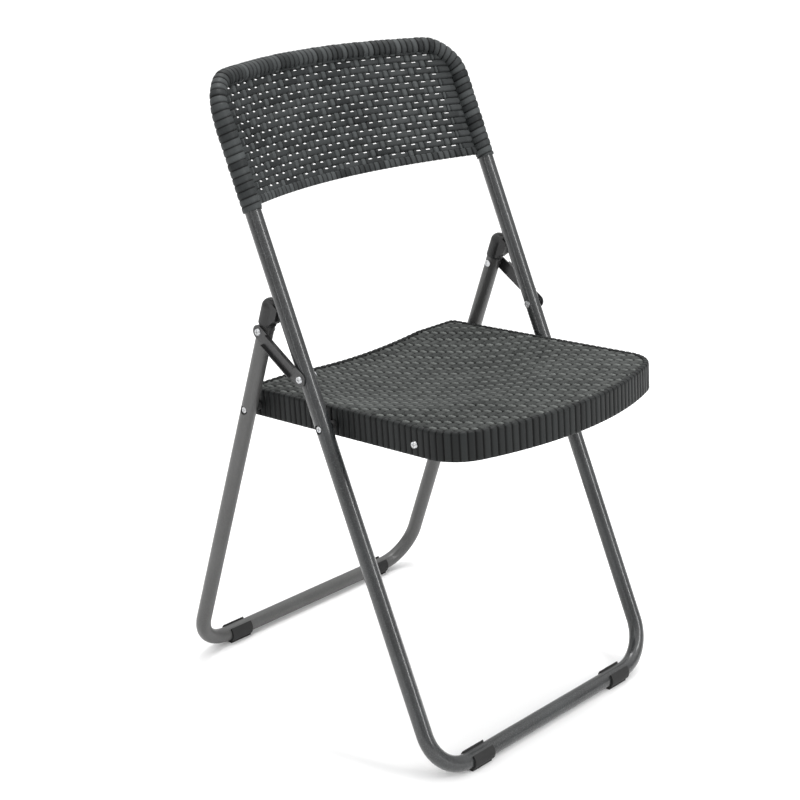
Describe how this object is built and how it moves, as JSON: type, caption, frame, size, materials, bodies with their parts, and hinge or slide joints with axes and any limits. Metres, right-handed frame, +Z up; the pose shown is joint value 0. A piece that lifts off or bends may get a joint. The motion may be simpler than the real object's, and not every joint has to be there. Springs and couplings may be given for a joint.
{
  "type": "folding chair",
  "caption": "Folding side chair: two bent tube frames joined by side links, with a moulded cane-weave seat and bowed backrest.",
  "frame": {"origin": "on the floor, midway between the seat front edge and the back of the rear feet, on the plane of symmetry", "axes": "+Z up, the sitter faces -Y, +X to the chair right as seen from the front"},
  "size_m": [0.4822, 0.5548, 0.8795],
  "materials": {
    "front_paint": "dark grey hammered powder coat with fine metallic speckle",
    "rear_paint": "smooth satin grey powder coat",
    "woven_plastic": "satin charcoal polypropylene moulded as a cane weave",
    "cap_plastic": "satin black polypropylene",
    "foot_rubber": "matt black rubbery plastic",
    "link_steel": "satin dark grey paint on pressed strip",
    "rail_steel": "satin black paint",
    "spacer_nylon": "black nylon",
    "zinc": "bright zinc plate"
  },
  "bodies": {
    "front_frame": {"front_frame_tube": "front_paint", "backrest_panel": "woven_plastic", "backrest_screws": "zinc", "front_foot_left": "foot_rubber", "seat_pivot_screw_left": "zinc", "seat_pivot_spacer_left": "spacer_nylon", "seat_pivot_nut_left": "zinc", "link_front_screw_left": "zinc", "link_front_washer_left": "zinc", "link_front_nut_left": "zinc", "front_foot_right": "foot_rubber", "seat_pivot_screw_right": "zinc", "seat_pivot_spacer_right": "spacer_nylon", "seat_pivot_nut_right": "zinc", "link_front_screw_right": "zinc", "link_front_washer_right": "zinc", "link_front_nut_right": "zinc"},
    "seat": {"seat_panel": "woven_plastic", "seat_rail_left": "rail_steel", "rail_screw_left": "zinc", "rail_nut_left": "zinc", "seat_rail_right": "rail_steel", "rail_screw_right": "zinc", "rail_nut_right": "zinc"},
    "rear_frame": {"rear_frame_tube": "rear_paint", "rear_foot_left": "foot_rubber", "leg_cap_left": "cap_plastic", "leg_pivot_screw_left": "zinc", "leg_pivot_spacer_left": "spacer_nylon", "leg_pivot_nut_left": "zinc", "link_rear_screw_left": "zinc", "link_rear_washer_left": "zinc", "link_rear_nut_left": "zinc", "rear_foot_right": "foot_rubber", "leg_cap_right": "cap_plastic", "leg_pivot_screw_right": "zinc", "leg_pivot_spacer_right": "spacer_nylon", "leg_pivot_nut_right": "zinc", "link_rear_screw_right": "zinc", "link_rear_washer_right": "zinc", "link_rear_nut_right": "zinc"},
    "link_left": {"side_link_left": "link_steel"},
    "link_right": {"side_link_right": "link_steel"}
  },
  "joints": [
    {"name": "seat_fold", "type": "hinge", "parent": "front_frame", "child": "seat", "pos_m": [0, -0.02111, 0.445], "axis": [-1, 0, 0], "range_deg": [0, 99.6]},
    {"name": "left_link_swing", "type": "hinge", "parent": "front_frame", "child": "link_left", "pos_m": [0, 0.00847, 0.5066], "axis": [-1, 0, 0], "range_deg": [0, 128.5]},
    {"name": "right_link_swing", "type": "hinge", "parent": "front_frame", "child": "link_right", "pos_m": [0, 0.00847, 0.5066], "axis": [-1, 0, 0], "range_deg": [0, 128.5]},
    {"name": "rear_frame_fold", "type": "hinge", "parent": "link_left", "child": "rear_frame", "pos_m": [0, 0.08681, 0.55278], "axis": [-1, 0, 0], "range_deg": [-84.7, 0]}
  ],
  "couplings": [
    {"joint": "left_link_swing", "follows": "seat_fold", "ratio": 1.2869},
    {"joint": "right_link_swing", "follows": "seat_fold", "ratio": 1.2869},
    {"joint": "rear_frame_fold", "follows": "seat_fold", "ratio": -0.84733}
  ]
}
